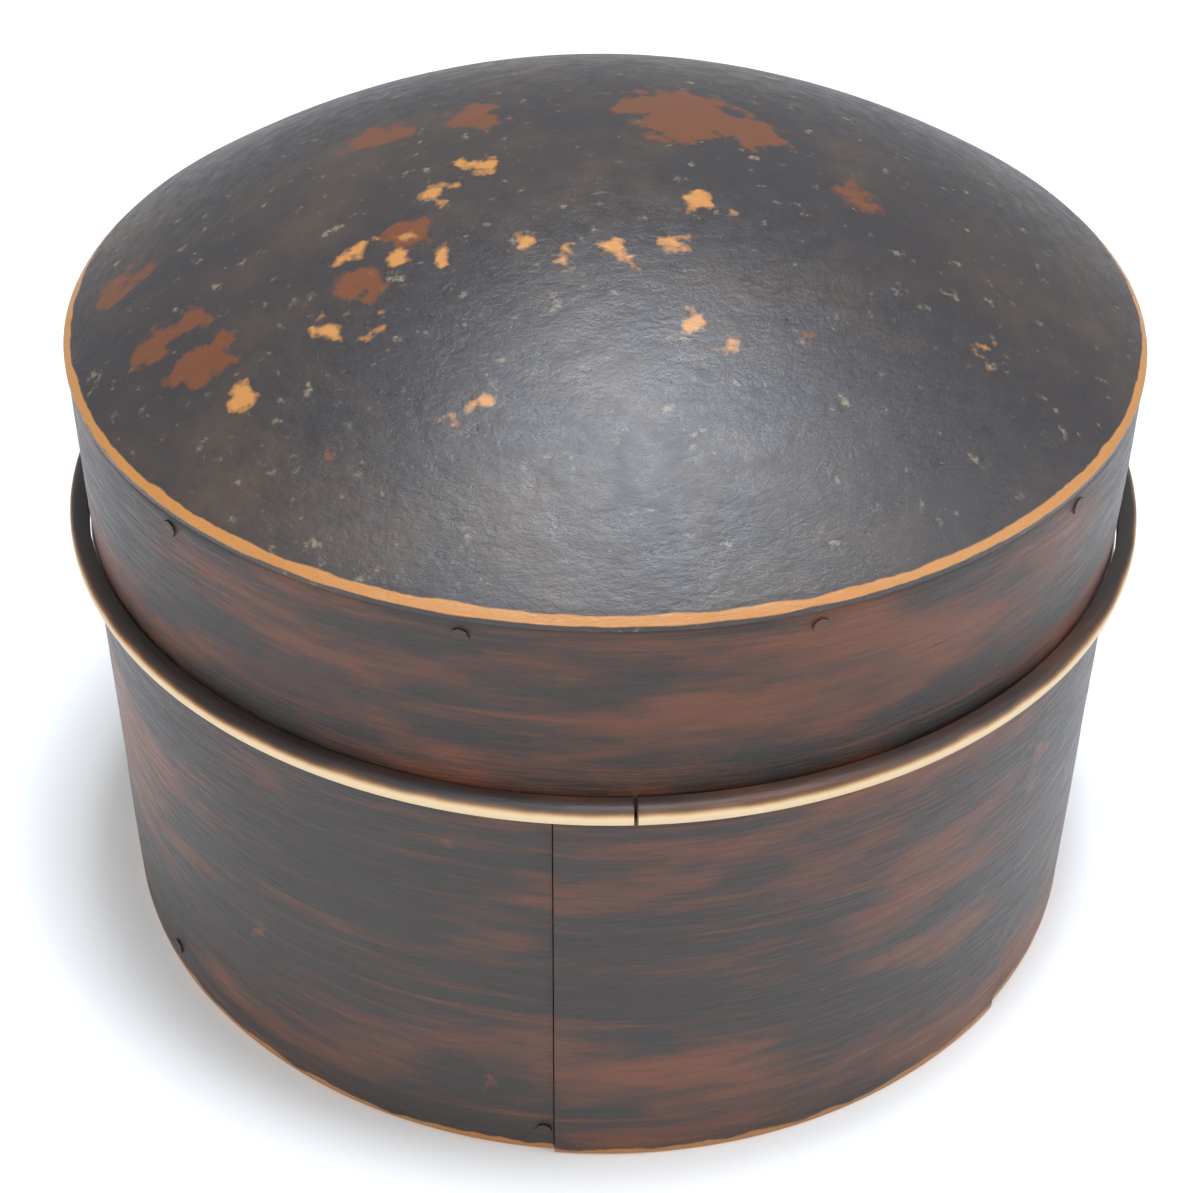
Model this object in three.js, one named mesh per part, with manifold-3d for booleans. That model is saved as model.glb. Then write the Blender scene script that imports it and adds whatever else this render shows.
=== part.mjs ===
// Round lidded wooden box of bent hoops: a straight body on a board, a neck that stands up inside
// it, and a lid with a shallow domed top, a bent side band and a half-round hoop at its mouth.
// Millimetres, +Z up, origin in the middle of the underside, front of the box towards -Y.

import * as THREE from "three";
import { mergeVertices } from "three/addons/utils/BufferGeometryUtils.js";
import Module from "manifold-3d";

const wasm = await Module();
wasm.setup();

// Body
const BODY_RADIUS = 72.6;
const BODY_HEIGHT = 61.5;
const BODY_WALL = 3.2;
const PANEL_PROUD = 0.5;
const PANEL_START_DEG = -4.3;
const PANEL_END_DEG = 51.0;
const BASE_THICKNESS = 7.0;

// Neck that the lid fits over
const NECK_WALL = 2.6;
const NECK_RISE = 9.0;

// Lid
const LID_RADIUS = 72.3;
const LID_RUNNING_GAP = 0.4;
const LID_SEAT_GAP = 0.2;
const BAND_HEIGHT = 27.5;
const DOME_RISE = 24.0;
const DOME_THICKNESS = 6.0;
const DOME_EDGE = 1.2;
const PLUG_DEPTH = 4.5;
const RIM_HEIGHT = 3.0;
const RIM_PROUD = 2.7;
const RIM_JOINT_DEG = 3.3;
const RIM_JOINT_GAP = 0.5;
const RIM_JOINT_SLANT_DEG = 20;

// Pegs
const PEG_RADIUS = 1.1;
const PEG_SIDES = 8;
const BASE_PEGS = 7;
const BASE_PEG_START_DEG = -5.5;
const BASE_PEG_HEIGHT = 4.2;
const BASE_PEG_LENGTH = 9.0;
const DOME_PEGS = 11;
const DOME_PEG_START_DEG = -12.7;
const DOME_PEG_DROP = 2.2;
const DOME_PEG_LENGTH = 7.0;

// Fits
const JOINT_GAP = 0.3;
const SIDES = 64;
const DOME_STEPS = 7;
const RIM_ARC_STEPS = 4;

const bodyInner = BODY_RADIUS - BODY_WALL;
const neckOuter = bodyInner - JOINT_GAP;
const neckInner = neckOuter - NECK_WALL;
const neckTop = BODY_HEIGHT + NECK_RISE;
const bandInner = neckOuter + LID_RUNNING_GAP;
const bandBottom = BODY_HEIGHT + LID_SEAT_GAP;
const bandTop = bandBottom + BAND_HEIGHT;
const plugRadius = bandInner - JOINT_GAP;

const LACQUER = { color: 0x2c2624, roughness: 0.38, metalness: 0 };
const DARK_WOOD = { color: 0x3a2a22, roughness: 0.5, metalness: 0 };
const PALE_WOOD = { color: 0xb99e78, roughness: 0.6, metalness: 0 };
const RAW_WOOD = { color: 0x8a6a48, roughness: 0.75, metalness: 0 };

const box = new THREE.Group();
const body = new THREE.Group();
const lid = new THREE.Group();
box.add(body, lid);

function addPiece(group, name, geometry, look) {
  const mesh = new THREE.Mesh(geometry, new THREE.MeshStandardMaterial(look));
  mesh.name = name;
  group.add(mesh);
  return mesh;
}

// Turns a profile of [radius, height] pairs about the upright axis.
function turned(profile, sides = SIDES) {
  const points = profile.map(([radius, height]) => new THREE.Vector2(radius, height));
  return new THREE.LatheGeometry(points, sides).rotateX(Math.PI / 2);
}

function ring(outer, inner, low, high) {
  return turned([[inner, low], [outer, low], [outer, high], [inner, high], [inner, low]]);
}

function toSolid(geometry) {
  const bare = geometry.clone();
  bare.deleteAttribute("normal");
  bare.deleteAttribute("uv");
  const merged = mergeVertices(bare, 1e-4);
  const mesh = new wasm.Mesh({
    numProp: 3,
    vertProperties: new Float32Array(merged.attributes.position.array),
    triVerts: new Uint32Array(merged.index.array),
  });
  return new wasm.Manifold(mesh);
}

function toGeometry(solid) {
  const mesh = solid.getMesh();
  const geometry = new THREE.BufferGeometry();
  geometry.setAttribute("position", new THREE.BufferAttribute(mesh.vertProperties, 3));
  geometry.setIndex(new THREE.BufferAttribute(mesh.triVerts, 1));
  geometry.computeVertexNormals();
  return geometry;
}

function cut(geometry, cutters) {
  let solid = toSolid(geometry);
  for (const cutter of cutters) {
    solid = solid.subtract(toSolid(cutter));
  }
  return toGeometry(solid);
}

// Angles are counted from the front, towards +X.
function around(degrees) {
  return THREE.MathUtils.degToRad(degrees) - Math.PI / 2;
}

// A round peg that lies along a radius, from its outer end inwards.
function radialPeg(degrees, height, outerEnd, length, radius) {
  const peg = new THREE.CylinderGeometry(radius, radius, length, PEG_SIDES);
  peg.rotateZ(Math.PI / 2);
  peg.translate(outerEnd - length / 2, 0, height);
  return peg.rotateZ(around(degrees));
}

function pegRow(count, startDegrees) {
  return Array.from({ length: count }, (unused, i) => startDegrees + (i * 360) / count);
}

function holes(row, height, outerEnd, length, radius) {
  const deeper = length + JOINT_GAP + 5;
  return row.map((deg) => radialPeg(deg, height, outerEnd + 5, deeper, radius + JOINT_GAP));
}

// A bent wall that goes part of the way round.
function bentWall(outer, inner, low, high, startDegrees, endDegrees) {
  const shape = new THREE.Shape();
  shape.absarc(0, 0, outer, around(startDegrees), around(endDegrees), false);
  shape.absarc(0, 0, inner, around(endDegrees), around(startDegrees), true);
  const share = (endDegrees - startDegrees) / 360;
  const curveSegments = Math.max(6, Math.round(SIDES * share));
  const options = { depth: high - low, bevelEnabled: false, curveSegments };
  return new THREE.ExtrudeGeometry(shape, options).translate(0, 0, low);
}

function makeBody() {
  const pegRowDegrees = pegRow(BASE_PEGS, BASE_PEG_START_DEG);
  const pegHoles = holes(pegRowDegrees, BASE_PEG_HEIGHT, BODY_RADIUS, BASE_PEG_LENGTH, PEG_RADIUS);

  const baseRadius = bodyInner - JOINT_GAP;
  const board = turned([[0, 0], [baseRadius, 0], [baseRadius, BASE_THICKNESS], [0, BASE_THICKNESS]]);
  addPiece(body, "base_board", cut(board, pegHoles), RAW_WOOD);

  const gapDegrees = THREE.MathUtils.radToDeg(JOINT_GAP / BODY_RADIUS);
  const hoop = bentWall(BODY_RADIUS, bodyInner, 0, BODY_HEIGHT,
    PANEL_END_DEG + gapDegrees, PANEL_START_DEG + 360 - gapDegrees);
  addPiece(body, "body_hoop", cut(hoop, pegHoles), DARK_WOOD);

  const panel = bentWall(BODY_RADIUS + PANEL_PROUD, bodyInner, 0, BODY_HEIGHT,
    PANEL_START_DEG, PANEL_END_DEG);
  addPiece(body, "body_front_panel", cut(panel, pegHoles), DARK_WOOD);

  const neck = ring(neckOuter, neckInner, BASE_THICKNESS, neckTop);
  addPiece(body, "neck_hoop", neck, RAW_WOOD);

  pegRowDegrees.forEach((degrees, i) => {
    const peg = radialPeg(degrees, BASE_PEG_HEIGHT, BODY_RADIUS, BASE_PEG_LENGTH, PEG_RADIUS);
    addPiece(body, `base_peg_${i + 1}`, peg, RAW_WOOD);
  });
}

// Height of the dome's top above its edge, at a share of its radius.
function domeRise(share) {
  return DOME_RISE * (1 - share * share);
}

function makeDomeProfile() {
  const top = [];
  const underside = [];
  const hollowRadius = plugRadius - NECK_WALL;
  for (let i = 0; i <= DOME_STEPS; i += 1) {
    const share = i / DOME_STEPS;
    top.push([LID_RADIUS * (1 - share), bandTop + DOME_EDGE + domeRise(1 - share)]);
    const height = bandTop + DOME_EDGE - DOME_THICKNESS + domeRise(share * hollowRadius / LID_RADIUS);
    underside.push([hollowRadius * share, height]);
  }
  const plugBottom = bandTop - PLUG_DEPTH;
  return [
    ...underside,
    [hollowRadius, plugBottom],
    [plugRadius, plugBottom],
    [plugRadius, bandTop],
    [LID_RADIUS, bandTop],
    ...top,
  ];
}

// Half-round section: flat at the back against the band, round on the outside.
function makeRimProfile() {
  const inner = LID_RADIUS + JOINT_GAP;
  const reach = RIM_PROUD - JOINT_GAP;
  const profile = [];
  for (let i = 0; i <= RIM_ARC_STEPS; i += 1) {
    const turn = Math.PI * (i / RIM_ARC_STEPS - 0.5);
    const height = bandBottom + (RIM_HEIGHT / 2) * (1 + Math.sin(turn));
    profile.push([inner + reach * Math.cos(turn), height]);
  }
  profile.push(profile[0]);
  return profile;
}

function makeLid() {
  const pegDegrees = pegRow(DOME_PEGS, DOME_PEG_START_DEG);
  const pegHeight = bandTop - DOME_PEG_DROP;
  const pegHoles = holes(pegDegrees, pegHeight, LID_RADIUS, DOME_PEG_LENGTH, PEG_RADIUS);

  addPiece(lid, "lid_dome", cut(turned(makeDomeProfile()), pegHoles), LACQUER);
  const band = ring(LID_RADIUS, bandInner, bandBottom, bandTop);
  addPiece(lid, "lid_band", cut(band, pegHoles), LACQUER);

  const butt = new THREE.BoxGeometry(3 * RIM_PROUD, RIM_JOINT_GAP, 3 * RIM_HEIGHT);
  butt.rotateX(THREE.MathUtils.degToRad(RIM_JOINT_SLANT_DEG));
  butt.translate(LID_RADIUS + RIM_PROUD / 2, 0, bandBottom + RIM_HEIGHT / 2);
  butt.rotateZ(around(RIM_JOINT_DEG));
  addPiece(lid, "lid_rim_hoop", cut(turned(makeRimProfile()), [butt]), PALE_WOOD);

  pegDegrees.forEach((degrees, i) => {
    const peg = radialPeg(degrees, pegHeight, LID_RADIUS, DOME_PEG_LENGTH, PEG_RADIUS);
    addPiece(lid, `dome_peg_${i + 1}`, peg, RAW_WOOD);
  });
}

makeBody();
makeLid();

export default box;
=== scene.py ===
"""Dresses a round lidded box of bent hoops in worn dark lacquer over red-brown wood."""

import math

import bmesh
import bpy
from mathutils import Matrix, Vector, noise


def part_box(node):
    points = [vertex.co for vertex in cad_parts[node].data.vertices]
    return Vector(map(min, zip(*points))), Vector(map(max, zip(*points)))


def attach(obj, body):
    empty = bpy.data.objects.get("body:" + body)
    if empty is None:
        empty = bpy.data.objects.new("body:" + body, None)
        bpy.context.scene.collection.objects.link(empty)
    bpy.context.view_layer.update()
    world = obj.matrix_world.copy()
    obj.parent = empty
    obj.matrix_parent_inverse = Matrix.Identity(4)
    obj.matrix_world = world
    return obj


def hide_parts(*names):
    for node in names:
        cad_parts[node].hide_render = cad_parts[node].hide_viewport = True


bl_info = {
    "name": "Round lidded box",
    "version": (1, 0, 0),
    "blender": (4, 5, 0),
    "location": "View3D > Sidebar > Lidded box",
    "description": "Finishes a lidded box of bent hoops in worn lacquer",
    "category": "Object",
}

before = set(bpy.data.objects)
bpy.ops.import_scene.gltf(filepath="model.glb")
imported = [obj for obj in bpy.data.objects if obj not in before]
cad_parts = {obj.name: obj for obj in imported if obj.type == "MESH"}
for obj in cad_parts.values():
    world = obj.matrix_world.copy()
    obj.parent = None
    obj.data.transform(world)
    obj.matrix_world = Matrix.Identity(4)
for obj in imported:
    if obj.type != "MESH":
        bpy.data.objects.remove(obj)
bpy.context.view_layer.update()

BODY = "box_body"
LID = "lid"
PEG_MARK = "_peg_"

# Places round the box are in degrees from the front, towards +X.
FULL_TURN = 360.0
PANEL_START = -4.3
PANEL_END = 51.0
RIM_JOINT = 3.3

# Lengths are in metres.
MM = 0.001
SKIN = 0.1 * MM
LAP = 0.05 * MM
PLUG_GAP = 0.3 * MM
SEAM_GAP = 0.2 * MM
SOFT_CORNER = 0.4 * MM
AXIS_RADIUS = 0.01 * MM
SAME_PLACE = 1e-7
SAME_RADIUS = 1e-6

# Counts of steps and rows in the meshes.
SWEEP_STEPS = 240
PANEL_STEPS = 60
BAND_ROWS = 24
BODY_ROWS = 50
DOME_ROWS = 90
UNDERSIDE_ROWS = 12
HOOP_ROWS = 16
SHARP_EDGE = math.radians(40)

# The hoop's section is a half round, filled out a little by these powers.
HOOP_REACH_POWER = 0.7
HOOP_HEIGHT_POWER = 0.8

# Soft dents: waves per metre, and the share that each size of wave has in the depth.
BROAD_WAVES = 45
FINE_WAVES = 260
FINE_WAVES_UP = 700
BROAD_SHARE = 0.75
FINE_SHARE = 0.25

# Worn places on the dome seen from above, as (x, y, reach) in millimetres.
OCHRE_SPOTS = (
    (-21.6, -11.6, 2.2), (-16.2, -6.0, 1.8), (12.1, -15.9, 2.4), (11.2, -29.2, 1.3),
    (-25.2, -23.5, 1.6), (-20.0, -25.0, 1.4), (-10.5, -25.1, 1.6), (-5.0, -26.0, 1.4),
    (1.6, -26.2, 2.0), (7.5, -22.8, 1.6), (10.5, -36.5, 1.5), (12.6, -39.6, 1.4),
    (-43.5, -39.8, 1.9), (-33.0, -33.5, 2.0), (-27.5, -36.0, 1.7), (46.4, -29.6, 1.2),
    (-16.0, -48.8, 1.3), (-31.5, -21.0, 1.7),
)
RUBBED_SPOTS = (
    (9.5, 7.8, 9.0), (17.0, 5.0, 6.0), (-18.3, 7.9, 4.5), (-30.2, 7.1, 4.5), (-64.2, -7.7, 3.5),
    (-56.7, -26.0, 3.6), (-48.7, -32.7, 4.2), (-51.3, -22.5, 2.4), (-30.0, -27.0, 3.0),
    (33.0, -8.0, 2.0), (-24.0, -20.0, 3.0),
)
SPOT_RAGGED = 16 * MM
SPOT_FADE = 1.6
SPOT_WAVES = 260.0
EDGE_WAVES = 160.0
EDGE_CORE = 0.7

# The lamps: name, place, side in metres, watts and colour.
LAMPS = (
    ("Top softbox", (0.056, -0.009, 0.80), 0.22, 8.0, (0.82, 0.90, 1.0)),
    ("Front softbox", (-0.35, -0.75, 0.5), 0.7, 5.0, (1.0, 0.98, 0.96)),
    ("Right softbox", (0.8, -0.2, 0.5), 0.6, 3.0, (1.0, 1.0, 1.0)),
)
LAMP_AIM = Vector((0, 0, 0.07))
ROOM_COLOUR = (0.95, 0.97, 1.0, 1)
ROOM_STRENGTH = 0.45
FLOOR_REACH = 3.0
FLOOR_ROUGHNESS = 0.7

# The focal length was fitted in pixels of the photograph, which is 1200 pixels wide.
PHOTO_WIDTH = 1200
FOCAL_PIXELS = 2239.6
SENSOR_WIDTH = 36.0
CAMERA_PLACE = (0.0, -0.26543, 0.24305)
CAMERA_PITCH = math.radians(37.607)
CAMERA_YAW = math.radians(-0.071)
CAMERA_ROLL = math.radians(0.657)
CAMERA_NEAR = 0.01

# Blender's Mix node gives its colour sockets no names of their own.
MIX_UNDER = 6
MIX_OVER = 7
MIX_RESULT = 2


def radius_and_heights(node):
    low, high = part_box(node)
    return high.x, low.z, high.z


BAND_RADIUS, BAND_LOW, BAND_HIGH = radius_and_heights("lid_band")
RIM_RADIUS, RIM_LOW, RIM_HIGH = radius_and_heights("lid_rim_hoop")
NECK_RADIUS, NECK_LOW, NECK_HIGH = radius_and_heights("neck_hoop")
BASE_RADIUS, BASE_LOW, BASE_HIGH = radius_and_heights("base_board")
DOME_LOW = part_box("lid_dome")[0].z
DOME_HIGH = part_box("lid_dome")[1].z
WALL_RADIUS = -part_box("body_hoop")[0].x
WALL_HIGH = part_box("body_hoop")[1].z


class BoxSizes(bpy.types.PropertyGroup):
    """Sizes of the fine forms that the finish adds."""

    dome_edge: bpy.props.FloatProperty(
        name="Dome edge", description="Upright edge below the dome's curve", default=1.2 * MM,
        unit="LENGTH")
    dome_thickness: bpy.props.FloatProperty(
        name="Dome thickness", description="Wood left under the dome's top", default=6 * MM,
        unit="LENGTH")
    wall: bpy.props.FloatProperty(
        name="Wall", description="Thickness of the body's bent wall", default=3.2 * MM,
        unit="LENGTH")
    band_wall: bpy.props.FloatProperty(
        name="Band wall", description="Thickness of the lid's bent band", default=2.8 * MM,
        unit="LENGTH")
    neck_wall: bpy.props.FloatProperty(
        name="Neck wall", description="Thickness of the neck", default=2.6 * MM, unit="LENGTH")
    panel_proud: bpy.props.FloatProperty(
        name="Panel proud", description="How far the front panel stands out", default=0.45 * MM,
        unit="LENGTH")
    rim_gap: bpy.props.FloatProperty(
        name="Rim joint gap", description="Gap of the hoop's butt joint", default=0.55 * MM,
        unit="LENGTH")
    dent_depth: bpy.props.FloatProperty(
        name="Dent depth", description="Depth of the soft dents in the skin", default=0.35 * MM,
        unit="LENGTH")


class BoxColours(bpy.types.PropertyGroup):
    """Colours of the lacquer, the wood under it and the worn edges."""

    lacquer: bpy.props.FloatVectorProperty(
        name="Lacquer", description="Dark lacquer of the dome", subtype="COLOR", size=4,
        default=(0.026, 0.022, 0.023, 1))
    lacquer_brown: bpy.props.FloatVectorProperty(
        name="Browned lacquer", description="Browner clouds in the dome's lacquer",
        subtype="COLOR", size=4, default=(0.055, 0.038, 0.027, 1))
    fleck: bpy.props.FloatVectorProperty(
        name="Flecks", description="Small olive-grey flecks on the dome", subtype="COLOR",
        size=4, default=(0.15, 0.12, 0.08, 1))
    side: bpy.props.FloatVectorProperty(
        name="Side", description="Dark stain on the sides", subtype="COLOR", size=4,
        default=(0.020, 0.014, 0.012, 1))
    streak: bpy.props.FloatVectorProperty(
        name="Streaks", description="Red-brown streaks in the grain", subtype="COLOR", size=4,
        default=(0.125, 0.036, 0.012, 1))
    worn: bpy.props.FloatVectorProperty(
        name="Worn ochre", description="Ochre wood where lacquer has worn off", subtype="COLOR",
        size=4, default=(0.36, 0.155, 0.040, 1))
    rubbed: bpy.props.FloatVectorProperty(
        name="Rubbed brown", description="Orange-brown wood under thin lacquer", subtype="COLOR",
        size=4, default=(0.11, 0.036, 0.013, 1))
    pale: bpy.props.FloatVectorProperty(
        name="Pale wood", description="Cream wood of the hoop's lower edge", subtype="COLOR",
        size=4, default=(0.66, 0.50, 0.30, 1))
    inside: bpy.props.FloatVectorProperty(
        name="Inside", description="Bare wood inside", subtype="COLOR", size=4,
        default=(0.24, 0.13, 0.06, 1))
    inside_dark: bpy.props.FloatVectorProperty(
        name="Inside grain", description="Darker grain of the bare wood", subtype="COLOR",
        size=4, default=(0.13, 0.065, 0.03, 1))
    floor: bpy.props.FloatVectorProperty(
        name="Floor", description="Pale floor", subtype="COLOR", size=4,
        default=(0.80, 0.80, 0.80, 1))


def sizes():
    return bpy.context.scene.box_sizes


def colours():
    return bpy.context.scene.box_colours


def point_at(degrees, radius, height):
    angle = math.radians(degrees)
    return Vector((radius * math.sin(angle), -radius * math.cos(angle), height))


def dent(place, depth):
    """A soft inward hollow that varies over the surface."""
    fine_place = Vector((place.x * FINE_WAVES, place.y * FINE_WAVES, place.z * FINE_WAVES_UP))
    broad = 0.5 + 0.5 * noise.noise(place * BROAD_WAVES)
    fine = 0.5 + 0.5 * noise.noise(fine_place)
    return depth * (BROAD_SHARE * broad + FINE_SHARE * fine)


def swept(name, section, body, node, start=0.0, end=FULL_TURN, steps=SWEEP_STEPS, dented=()):
    """Sweeps a closed (radius, height) section round the axis, with end caps on a part turn."""
    closed = end - start >= FULL_TURN
    rings = steps if closed else steps + 1
    count = len(section)
    verts = []
    for i in range(rings):
        degrees = start + (end - start) * i / steps
        for k, (radius, height) in enumerate(section):
            place = point_at(degrees, radius, height)
            if k in dented:
                inner = max(radius - dent(place, sizes().dent_depth), 0)
                place = point_at(degrees, inner, height)
            verts.append(place)
    faces = []
    for i in range(steps):
        here = i * count
        there = ((i + 1) % rings) * count
        for k in range(count):
            after = (k + 1) % count
            faces.append((here + k, there + k, there + after, here + after))
    if not closed:
        faces.append(tuple(range(count)))
        faces.append(tuple(reversed(range((rings - 1) * count, rings * count))))
    return finish_mesh(name, verts, faces, body, node)


def finish_mesh(name, verts, faces, body, node):
    mesh = bpy.data.meshes.new(name)
    mesh.from_pydata([tuple(v) for v in verts], [], faces)
    mesh.validate()
    mesh.polygons.foreach_set("use_smooth", [True] * len(mesh.polygons))
    mesh.set_sharp_from_angle(angle=SHARP_EDGE)
    piece = bpy.data.objects.new(name, mesh)
    bpy.context.scene.collection.objects.link(piece)
    face_outwards(mesh)
    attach(piece, body)
    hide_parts(node)
    return piece


def face_outwards(mesh):
    work = bmesh.new()
    work.from_mesh(mesh)
    bmesh.ops.remove_doubles(work, verts=work.verts, dist=SAME_PLACE)
    bmesh.ops.recalc_face_normals(work, faces=work.faces)
    work.to_mesh(mesh)
    work.free()


def wall_section(outer, inner, low, high, rows=BAND_ROWS):
    """A wall's section with rows of points up its outer face and softened outer corners."""
    straight = high - low - 2 * SOFT_CORNER
    section = [(inner, low), (outer - SOFT_CORNER, low)]
    for i in range(rows + 1):
        section.append((outer, low + SOFT_CORNER + straight * i / rows))
    section += [(outer - SOFT_CORNER, high), (inner, high)]
    return section


def rows_of(section, outer):
    """The numbers of the section's points that lie on the outer face."""
    return {k for k, point in enumerate(section) if abs(point[0] - outer) < SAME_RADIUS}


# Shader nodes

def feed(tree, socket, value):
    """Links a socket to another one, or sets it to a plain value."""
    if isinstance(value, bpy.types.NodeSocket):
        tree.links.new(value, socket)
    else:
        socket.default_value = value


def surface_place(tree):
    return tree.nodes.new("ShaderNodeTexCoord").outputs["Object"]


def maths(tree, operation, *values):
    node = tree.nodes.new("ShaderNodeMath")
    node.operation = operation
    for socket, value in zip(node.inputs, values):
        feed(tree, socket, value)
    return node.outputs[0]


def clouds(tree, place, scale, detail, roughness=0.5):
    node = tree.nodes.new("ShaderNodeTexNoise")
    node.inputs["Scale"].default_value = scale
    node.inputs["Detail"].default_value = detail
    node.inputs["Roughness"].default_value = roughness
    tree.links.new(place, node.inputs["Vector"])
    return node.outputs["Fac"]


def spread(tree, value, low, high, to_low=0.0, to_high=1.0, curve="LINEAR"):
    node = tree.nodes.new("ShaderNodeMapRange")
    node.interpolation_type = curve
    feed(tree, node.inputs["Value"], value)
    feed(tree, node.inputs["From Min"], low)
    feed(tree, node.inputs["From Max"], high)
    node.inputs["To Min"].default_value = to_low
    node.inputs["To Max"].default_value = to_high
    return node.outputs[0]


def mixed(material, mask, under, over):
    tree = material.node_tree
    mix = tree.nodes.new("ShaderNodeMix")
    mix.data_type = "RGBA"
    tree.links.new(mask, mix.inputs["Factor"])
    feed(tree, mix.inputs[MIX_UNDER], under)
    feed(tree, mix.inputs[MIX_OVER], over)
    return mix.outputs[MIX_RESULT]


# Node groups that several materials share

def new_group(name, output, **inputs):
    group = bpy.data.node_groups.new(name, "ShaderNodeTree")
    for socket, value in inputs.items():
        item = group.interface.new_socket(socket, in_out="INPUT", socket_type="NodeSocketFloat")
        item.default_value = value
    group.interface.new_socket(output, in_out="OUTPUT", socket_type="NodeSocketFloat")
    start = group.nodes.new("NodeGroupInput")
    end = group.nodes.new("NodeGroupOutput")
    return group, start, end


def scaled_place(group, flat, tall):
    """Surface places scaled apart, so that a pattern runs round the box."""
    scale = group.nodes.new("ShaderNodeCombineXYZ")
    for socket, value in zip(scale.inputs, (flat, flat, tall)):
        group.links.new(value, socket)
    times = group.nodes.new("ShaderNodeVectorMath")
    times.operation = "MULTIPLY"
    group.links.new(surface_place(group), times.inputs[0])
    group.links.new(scale.outputs[0], times.inputs[1])
    return times.outputs[0]


def make_grain_group():
    """Grain that runs round the box, as a mask."""
    group, start, end = new_group("Streaked grain", "Mask",
                                  Along=30.0, Across=900.0, Low=0.45, High=0.62)
    place = scaled_place(group, start.outputs["Along"], start.outputs["Across"])
    cloud = clouds(group, place, scale=1.0, detail=6.0, roughness=0.6)
    mask = spread(group, cloud, start.outputs["Low"], start.outputs["High"], curve="SMOOTHSTEP")
    group.links.new(mask, end.inputs["Mask"])
    return group


def make_wear_group():
    """Wear in a ragged band about a stated height, as a mask."""
    group, start, end = new_group("Edge wear", "Mask", Height=0.0, Width=0.001, Ragged=0.001)
    split = group.nodes.new("ShaderNodeSeparateXYZ")
    group.links.new(surface_place(group), split.inputs[0])
    cloud = clouds(group, surface_place(group), scale=EDGE_WAVES, detail=5.0)
    centred = maths(group, "SUBTRACT", cloud, 0.5)
    shift = maths(group, "MULTIPLY", centred, start.outputs["Ragged"])
    away = maths(group, "SUBTRACT", split.outputs["Z"], start.outputs["Height"])
    distance = maths(group, "ADD", maths(group, "ABSOLUTE", away), shift)
    core = maths(group, "MULTIPLY", start.outputs["Width"], EDGE_CORE)
    mask = spread(group, distance, start.outputs["Width"], core, curve="SMOOTHSTEP")
    group.links.new(mask, end.inputs["Mask"])
    return group


def make_pit_group():
    """Fine pits drawn out round the box, as a height."""
    group, start, end = new_group("Pitted skin", "Height", Along=350.0, Across=900.0)
    place = scaled_place(group, start.outputs["Along"], start.outputs["Across"])
    cloud = clouds(group, place, scale=1.0, detail=8.0, roughness=0.7)
    group.links.new(cloud, end.inputs["Height"])
    return group


def place_group(material, name, maker, **values):
    node = material.node_tree.nodes.new("ShaderNodeGroup")
    node.node_tree = bpy.data.node_groups.get(name) or maker()
    for socket, value in values.items():
        node.inputs[socket.capitalize()].default_value = value
    return node.outputs[0]


def grain(material, **values):
    return place_group(material, "Streaked grain", make_grain_group, **values)


def wear(material, **values):
    return place_group(material, "Edge wear", make_wear_group, **values)


def pits(material, **values):
    return place_group(material, "Pitted skin", make_pit_group, **values)


# Materials

def blank(name):
    material = bpy.data.materials.new(name)
    material.use_nodes = True
    return material


def speckle(material, scale, low, high):
    """Sparse flecks where a fine noise runs high."""
    tree = material.node_tree
    cloud = clouds(tree, surface_place(tree), scale, detail=7.0, roughness=0.65)
    return spread(tree, cloud, low, high, curve="SMOOTHSTEP")


def worn_spots(material, spots):
    """Ragged spots at stated places on the dome, as (x, y, reach) in millimetres."""
    tree = material.node_tree
    place = surface_place(tree)
    cloud = clouds(tree, place, scale=SPOT_WAVES, detail=5.0)
    ragged = maths(tree, "MULTIPLY_ADD", cloud, SPOT_RAGGED, -SPOT_RAGGED / 2)
    flat = tree.nodes.new("ShaderNodeVectorMath")
    flat.operation = "MULTIPLY"
    flat.inputs[1].default_value = (1, 1, 0)
    tree.links.new(place, flat.inputs[0])
    masks = []
    for x, y, reach in spots:
        away = tree.nodes.new("ShaderNodeVectorMath")
        away.operation = "DISTANCE"
        away.inputs[1].default_value = (x * MM, y * MM, 0)
        tree.links.new(flat.outputs[0], away.inputs[0])
        torn = maths(tree, "ADD", away.outputs["Value"], ragged)
        masks.append(spread(tree, torn, reach * MM, (reach - SPOT_FADE) * MM))
    total = masks[0]
    for mask in masks[1:]:
        total = maths(tree, "MAXIMUM", total, mask)
    return total


def finish_material(material, colour, relief, roughness, depth):
    """Joins the colour and the fine relief to the shader; roughness is a (smooth, rough) pair."""
    tree = material.node_tree
    shader = tree.nodes["Principled BSDF"]
    tree.links.new(colour, shader.inputs["Base Color"])
    smooth, rough = roughness
    tree.links.new(spread(tree, relief, 0.3, 0.7, smooth, rough), shader.inputs["Roughness"])
    bump = tree.nodes.new("ShaderNodeBump")
    bump.inputs["Strength"].default_value = 1.0
    bump.inputs["Distance"].default_value = depth
    tree.links.new(relief, bump.inputs["Height"])
    tree.links.new(bump.outputs[0], shader.inputs["Normal"])
    return material


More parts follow.
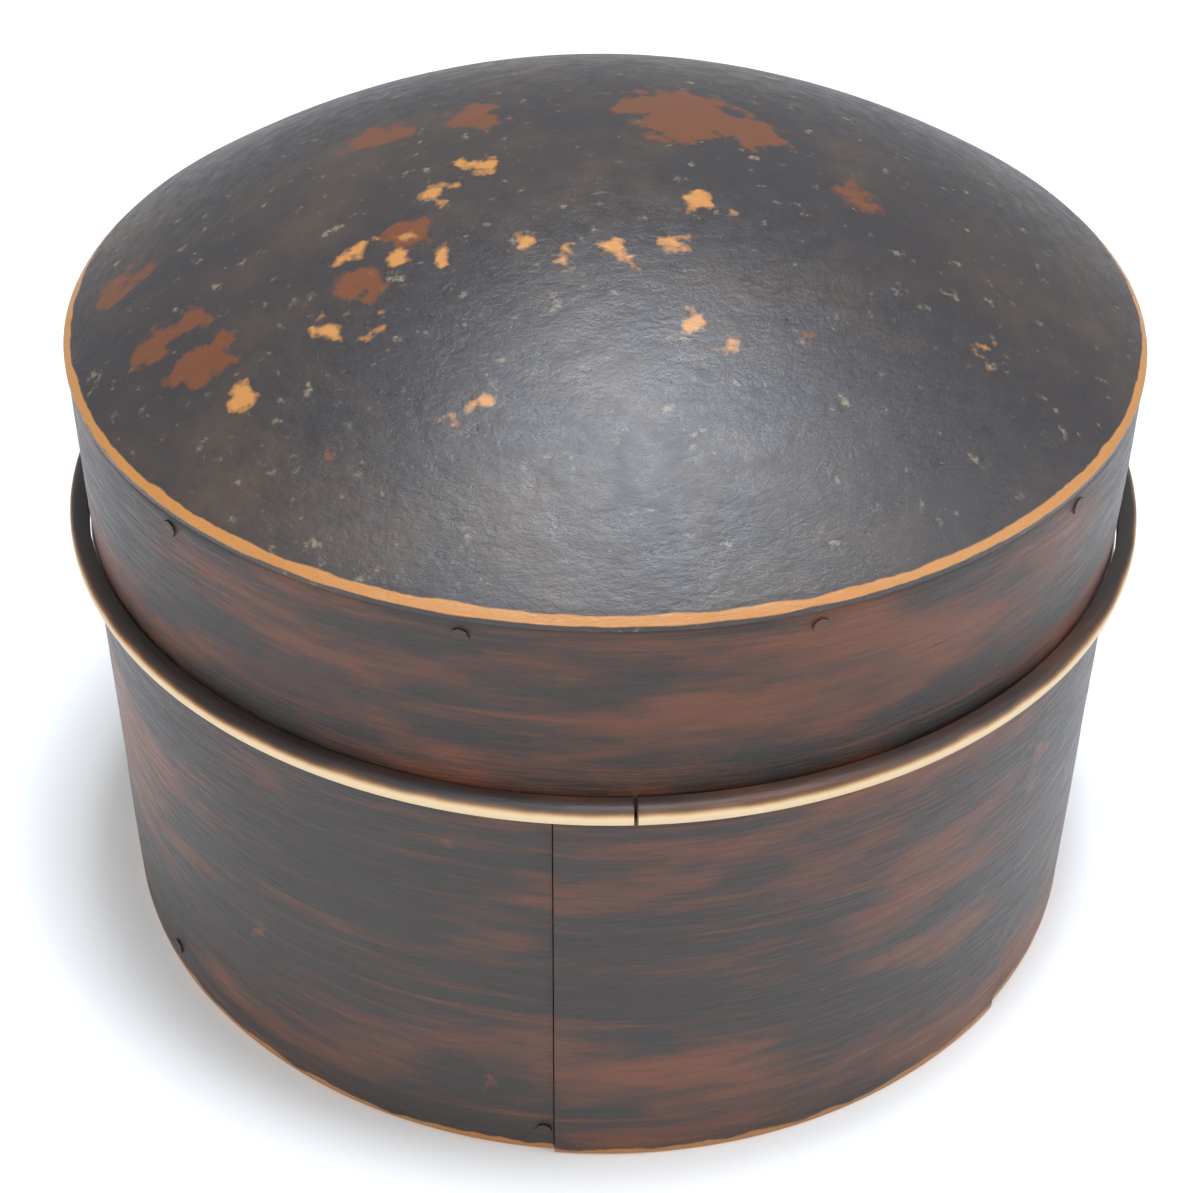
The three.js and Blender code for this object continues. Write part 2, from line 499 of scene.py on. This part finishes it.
def dome_lacquer():
    material = blank("Worn dome lacquer")
    tint = colours()
    brown = mixed(material, speckle(material, 40, 0.42, 0.75), tint.lacquer, tint.lacquer_brown)
    flecked = mixed(material, speckle(material, 420, 0.60, 0.72), brown, tint.fleck)
    rubbed = mixed(material, worn_spots(material, RUBBED_SPOTS), flecked, tint.rubbed)
    bright = mixed(material, worn_spots(material, OCHRE_SPOTS), rubbed, tint.worn)
    patched = mixed(material, speckle(material, 90, 0.69, 0.71), bright, tint.rubbed)
    edge = wear(material, height=BAND_HIGH + sizes().dome_edge, width=0.55 * MM,
                ragged=0.9 * MM)
    worn = mixed(material, edge, patched, tint.worn)
    skin = pits(material, along=300, across=900)
    return finish_material(material, worn, skin, (0.24, 0.46), 0.22 * MM)


def side_lacquer(name, edge_height, edge_width):
    material = blank(name)
    tint = colours()
    broad = mixed(material, grain(material, along=22, across=90, low=0.46, high=0.66),
                  tint.side, tint.streak)
    streaked = mixed(material, grain(material, along=35, across=600, low=0.50, high=0.85),
                     broad, tint.streak)
    darkened = mixed(material, grain(material, along=60, across=1400, low=0.52, high=0.80),
                     streaked, tint.side)
    patched = mixed(material, speckle(material, 60, 0.66, 0.69), darkened, tint.rubbed)
    edge = wear(material, height=edge_height, width=edge_width, ragged=2 * edge_width)
    worn = mixed(material, edge, patched, tint.worn)
    skin = pits(material, along=130, across=1500)
    return finish_material(material, worn, skin, (0.28, 0.52), 0.22 * MM)


def hoop_finish():
    material = blank("Worn hoop")
    tint = colours()
    streaked = mixed(material, grain(material, along=25, across=1800, low=0.45, high=0.8),
                     tint.side, tint.streak)
    red = wear(material, height=RIM_LOW, width=2.75 * MM, ragged=0.6 * MM)
    pale = wear(material, height=RIM_LOW, width=2.45 * MM, ragged=0.5 * MM)
    worn = mixed(material, pale, mixed(material, red, streaked, tint.worn), tint.pale)
    skin = pits(material, along=60, across=2200)
    return finish_material(material, worn, skin, (0.32, 0.55), 0.15 * MM)


def bare_wood():
    material = blank("Bare wood")
    tint = colours()
    streaked = mixed(material, grain(material, along=40, across=1200, low=0.35, high=0.7),
                     tint.inside, tint.inside_dark)
    skin = pits(material, along=80, across=1500)
    return finish_material(material, streaked, skin, (0.60, 0.80), 0.15 * MM)


def dress(piece, material):
    piece.data.materials.clear()
    piece.data.materials.append(material)


# Pieces

def dome_section(size):
    """The dome's section and the numbers of its points that take dents."""
    radius = BAND_RADIUS - SKIN
    foot = BAND_HIGH + size.dome_edge
    rise = DOME_HIGH - foot - SKIN
    plug = BAND_RADIUS - size.band_wall - PLUG_GAP
    hollow = plug - size.neck_wall
    ceiling = foot - size.dome_thickness
    section = [(AXIS_RADIUS, ceiling + rise)]
    for i in range(1, UNDERSIDE_ROWS + 1):
        share = i / UNDERSIDE_ROWS
        section.append((hollow * share, ceiling + rise * (1 - (share * hollow / radius) ** 2)))
    section += [(hollow, DOME_LOW), (plug, DOME_LOW), (plug, BAND_HIGH + LAP)]
    section += [(radius, BAND_HIGH + LAP), (radius, foot - SOFT_CORNER)]
    first = len(section)
    for i in range(1, DOME_ROWS):
        share = 1 - i / DOME_ROWS
        section.append((radius * share, foot + rise * (1 - share ** 2)))
    dented = set(range(first, len(section) - 1))
    section.append((AXIS_RADIUS, foot + rise))
    return section, dented


class BOX_OT_dome(bpy.types.Operator):
    """Builds the lid's domed top"""

    bl_idname = "lidded_box.dome"
    bl_label = "Domed top"

    def execute(self, context):
        section, dented = dome_section(sizes())
        piece = swept("domed_top", section, LID, "lid_dome", dented=dented)
        dress(piece, dome_lacquer())
        return {"FINISHED"}


class BOX_OT_band(bpy.types.Operator):
    """Builds the lid's bent side band"""

    bl_idname = "lidded_box.band"
    bl_label = "Lid band"

    def execute(self, context):
        outer = BAND_RADIUS - SKIN
        section = wall_section(outer, BAND_RADIUS - sizes().band_wall, BAND_LOW, BAND_HIGH)
        piece = swept("side_band", section, LID, "lid_band", dented=rows_of(section, outer))
        dress(piece, side_lacquer("Lid band lacquer", BAND_HIGH, 0.15 * MM))
        return {"FINISHED"}


def hoop_section():
    """A half round, flat against the band."""
    inner = BAND_RADIUS + LAP
    reach = RIM_RADIUS - inner - SKIN
    middle = (RIM_LOW + RIM_HIGH) / 2
    half = (RIM_HIGH - RIM_LOW) / 2
    section = [(inner, RIM_LOW)]
    for i in range(1, HOOP_ROWS):
        turn = math.pi * (i / HOOP_ROWS - 0.5)
        height = math.copysign(abs(math.sin(turn)) ** HOOP_HEIGHT_POWER, math.sin(turn))
        section.append((inner + reach * math.cos(turn) ** HOOP_REACH_POWER,
                        middle + half * height))
    section.append((inner, RIM_HIGH))
    return section


class BOX_OT_hoop(bpy.types.Operator):
    """Builds the half-round hoop at the lid's mouth, open at its butt joint"""

    bl_idname = "lidded_box.hoop"
    bl_label = "Rim hoop"

    def execute(self, context):
        gap = math.degrees(sizes().rim_gap / RIM_RADIUS) / 2
        piece = swept("rim_hoop", hoop_section(), LID, "lid_rim_hoop", start=RIM_JOINT + gap,
                      end=RIM_JOINT - gap + FULL_TURN)
        dress(piece, hoop_finish())
        return {"FINISHED"}


class BOX_OT_wall(bpy.types.Operator):
    """Builds the body's bent wall and its proud front panel"""

    bl_idname = "lidded_box.wall"
    bl_label = "Body wall"

    def execute(self, context):
        size = sizes()
        outer = WALL_RADIUS - SKIN
        inner = WALL_RADIUS - size.wall
        finish = side_lacquer("Body lacquer", 0.0, 1.3 * MM)
        seam = math.degrees(SEAM_GAP / outer)
        section = wall_section(outer, inner, 0, WALL_HIGH, rows=BODY_ROWS)
        wall = swept("bent_wall", section, BODY, "body_hoop", start=PANEL_END + seam,
                     end=PANEL_START - seam + FULL_TURN, dented=rows_of(section, outer))
        dress(wall, finish)
        proud = WALL_RADIUS + size.panel_proud
        section = wall_section(proud, inner, 0, WALL_HIGH, rows=BODY_ROWS)
        panel = swept("front_panel", section, BODY, "body_front_panel", start=PANEL_START,
                      end=PANEL_END, steps=PANEL_STEPS, dented=rows_of(section, proud))
        dress(panel, finish)
        return {"FINISHED"}


class BOX_OT_inside(bpy.types.Operator):
    """Builds the neck and the bottom board, and finishes the pegs"""

    bl_idname = "lidded_box.inside"
    bl_label = "Neck, board and pegs"

    def execute(self, context):
        wood = bare_wood()
        section = wall_section(NECK_RADIUS, NECK_RADIUS - sizes().neck_wall, NECK_LOW, NECK_HIGH)
        dress(swept("neck", section, BODY, "neck_hoop"), wood)
        top = BASE_HIGH - SKIN
        section = [(AXIS_RADIUS, BASE_LOW), (BASE_RADIUS, BASE_LOW), (BASE_RADIUS, top),
                   (AXIS_RADIUS, top)]
        dress(swept("bottom_board", section, BODY, "base_board"), wood)
        peg_finish = side_lacquer("Peg finish", 0.0, 1.0 * MM)
        for name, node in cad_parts.items():
            if PEG_MARK in name:
                node.data.materials.clear()
                node.data.materials.append(peg_finish)
        return {"FINISHED"}


class BOX_OT_stage(bpy.types.Operator):
    """Sets the pale floor, the soft lamps and the camera"""

    bl_idname = "lidded_box.stage"
    bl_label = "Stage"

    def execute(self, context):
        make_floor()
        for lamp in LAMPS:
            make_lamp(*lamp)
        make_world()
        make_camera()
        return {"FINISHED"}


def make_floor():
    mesh = bpy.data.meshes.new("floor")
    signs = ((-1, -1), (1, -1), (1, 1), (-1, 1))
    verts = [(x * FLOOR_REACH, y * FLOOR_REACH, 0) for x, y in signs]
    mesh.from_pydata(verts, [], [(0, 1, 2, 3)])
    floor = bpy.data.objects.new("floor", mesh)
    bpy.context.scene.collection.objects.link(floor)
    material = blank("Pale floor")
    shader = material.node_tree.nodes["Principled BSDF"]
    shader.inputs["Base Color"].default_value = tuple(colours().floor)
    shader.inputs["Roughness"].default_value = FLOOR_ROUGHNESS
    mesh.materials.append(material)


def make_lamp(name, place, side, watts, colour):
    data = bpy.data.lights.new(name, "AREA")
    data.shape = "SQUARE"
    data.size = side
    data.energy = watts
    data.color = colour
    lamp = bpy.data.objects.new(name, data)
    lamp.location = place
    aim = LAMP_AIM - Vector(place)
    lamp.rotation_euler = aim.to_track_quat("-Z", "Y").to_euler()
    bpy.context.scene.collection.objects.link(lamp)


def make_world():
    world = bpy.data.worlds.new("Soft room")
    world.use_nodes = True
    back = world.node_tree.nodes["Background"]
    back.inputs["Color"].default_value = ROOM_COLOUR
    back.inputs["Strength"].default_value = ROOM_STRENGTH
    bpy.context.scene.world = world


def make_camera():
    level = math.cos(CAMERA_PITCH)
    ahead = Vector((math.sin(CAMERA_YAW) * level, math.cos(CAMERA_YAW) * level,
                    -math.sin(CAMERA_PITCH)))
    right = ahead.cross(Vector((0, 0, 1))).normalized()
    up = right.cross(ahead)
    rolled_right = math.cos(CAMERA_ROLL) * right + math.sin(CAMERA_ROLL) * up
    rolled_up = -math.sin(CAMERA_ROLL) * right + math.cos(CAMERA_ROLL) * up
    data = bpy.data.cameras.new("camera")
    data.sensor_fit = "HORIZONTAL"
    data.sensor_width = SENSOR_WIDTH
    data.lens = SENSOR_WIDTH * FOCAL_PIXELS / PHOTO_WIDTH
    data.clip_start = CAMERA_NEAR
    camera = bpy.data.objects.new("camera", data)
    turn = Matrix((rolled_right, rolled_up, -ahead)).transposed().to_4x4()
    camera.matrix_world = Matrix.Translation(CAMERA_PLACE) @ turn
    bpy.context.scene.collection.objects.link(camera)
    bpy.context.scene.camera = camera


class BOX_PT_panel(bpy.types.Panel):
    """Lists the sizes, the colours and the steps"""

    bl_idname = "BOX_PT_panel"
    bl_label = "Lidded box"
    bl_space_type = "VIEW_3D"
    bl_region_type = "UI"
    bl_category = "Lidded box"

    def draw(self, context):
        for group in (context.scene.box_sizes, context.scene.box_colours):
            for name in group.__annotations__:
                self.layout.prop(group, name)
        for step in STEPS:
            self.layout.operator(step.bl_idname)


STEPS = (BOX_OT_dome, BOX_OT_band, BOX_OT_hoop, BOX_OT_wall, BOX_OT_inside, BOX_OT_stage)
CLASSES = (BoxSizes, BoxColours, *STEPS, BOX_PT_panel)


def register():
    for item in CLASSES:
        bpy.utils.register_class(item)
    bpy.types.Scene.box_sizes = bpy.props.PointerProperty(type=BoxSizes)
    bpy.types.Scene.box_colours = bpy.props.PointerProperty(type=BoxColours)


def unregister():
    del bpy.types.Scene.box_colours
    del bpy.types.Scene.box_sizes
    for item in reversed(CLASSES):
        bpy.utils.unregister_class(item)


def main():
    register()
    bpy.context.scene.view_settings.view_transform = "Standard"
    bpy.ops.lidded_box.dome()
    bpy.ops.lidded_box.band()
    bpy.ops.lidded_box.hoop()
    bpy.ops.lidded_box.wall()
    bpy.ops.lidded_box.inside()
    bpy.ops.lidded_box.stage()


if __name__ == "__main__":
    main()
